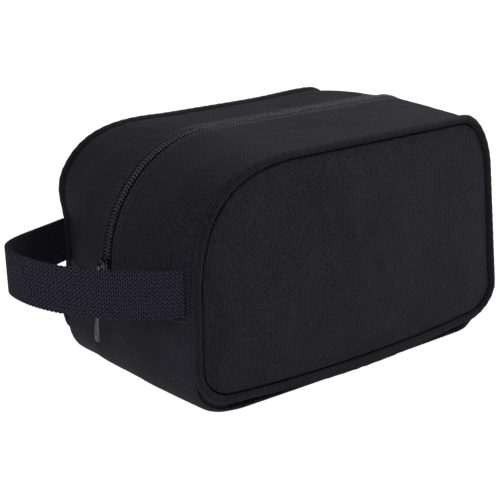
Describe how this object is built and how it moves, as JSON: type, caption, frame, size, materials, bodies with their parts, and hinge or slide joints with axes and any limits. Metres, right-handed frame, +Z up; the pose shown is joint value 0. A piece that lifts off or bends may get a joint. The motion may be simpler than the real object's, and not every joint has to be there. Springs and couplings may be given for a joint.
{
  "type": "zipped wash bag",
  "caption": "Black canvas wash bag with corded seams, a coil zip over the top and down both ends, and a webbing loop handle at one end.",
  "frame": {"origin": "centre of the flat bottom, on the floor", "axes": "+X along the bag's length, away from the webbing loop; the front panel faces -Y; +Z up"},
  "size_m": [0.3687, 0.184, 0.176],
  "materials": {
    "canvas": "plain-woven cotton canvas, dyed black, matt",
    "piping_canvas": "bias-cut cotton canvas, dyed black",
    "piping_cord": "twisted cotton filler cord, undyed",
    "lining": "thin woven nylon, black",
    "tape": "woven polyester tape, black",
    "coil": "nylon monofilament coil, black, glossy",
    "webbing": "heavy woven cotton webbing, black",
    "zip_metal": "die-cast zinc alloy, black plated, glossy"
  },
  "bodies": {
    "lower_shell": {"bottom_gusset": "canvas", "bottom_lining": "lining", "bottom_stop": "zip_metal", "front_top_stop": "zip_metal", "rear_top_stop": "zip_metal", "front_handle_end": "webbing", "rear_handle_end": "webbing"},
    "front_half": {"front_panel": "canvas", "front_panel_lining": "lining", "front_piping_cover": "piping_canvas", "front_piping_cord": "piping_cord", "front_seam_binding": "tape", "front_zip_gusset": "canvas", "front_gusset_lining": "lining", "front_zip_tape": "tape", "front_coil": "coil"},
    "rear_half": {"rear_panel": "canvas", "rear_panel_lining": "lining", "rear_piping_cover": "piping_canvas", "rear_piping_cord": "piping_cord", "rear_seam_binding": "tape", "rear_zip_gusset": "canvas", "rear_gusset_lining": "lining", "rear_zip_tape": "tape", "rear_coil": "coil"},
    "handle": {"handle_webbing": "webbing"},
    "zip_slider": {"slider": "zip_metal"},
    "zip_pull": {"pull_tab": "zip_metal"}
  },
  "joints": [
    {"name": "front_mouth", "type": "hinge", "parent": "lower_shell", "child": "front_half", "pos_m": [0, -0.084, 0.006], "axis": [-1, 0, 0], "range_deg": [-10, 0]},
    {"name": "rear_mouth", "type": "hinge", "parent": "lower_shell", "child": "rear_half", "pos_m": [0, 0.084, 0.006], "axis": [1, 0, 0], "range_deg": [-10, 0]},
    {"name": "handle_lift", "type": "hinge", "parent": "lower_shell", "child": "handle", "pos_m": [-0.141, 0, 0.091], "axis": [0, 1, 0], "range_deg": [-25, 35]},
    {"name": "slider_run", "type": "hinge", "parent": "lower_shell", "child": "zip_slider", "pos_m": [-0.068, 0, 0.089], "axis": [0, 1, 0], "range_deg": [0, 88]},
    {"name": "pull_swing", "type": "hinge", "parent": "zip_slider", "child": "zip_pull", "pos_m": [-0.15845, 0, 0.09216], "axis": [0, 1, 0], "range_deg": [0, 165]}
  ],
  "couplings": [
    {"joint": "rear_mouth", "follows": "front_mouth", "ratio": 1}
  ]
}
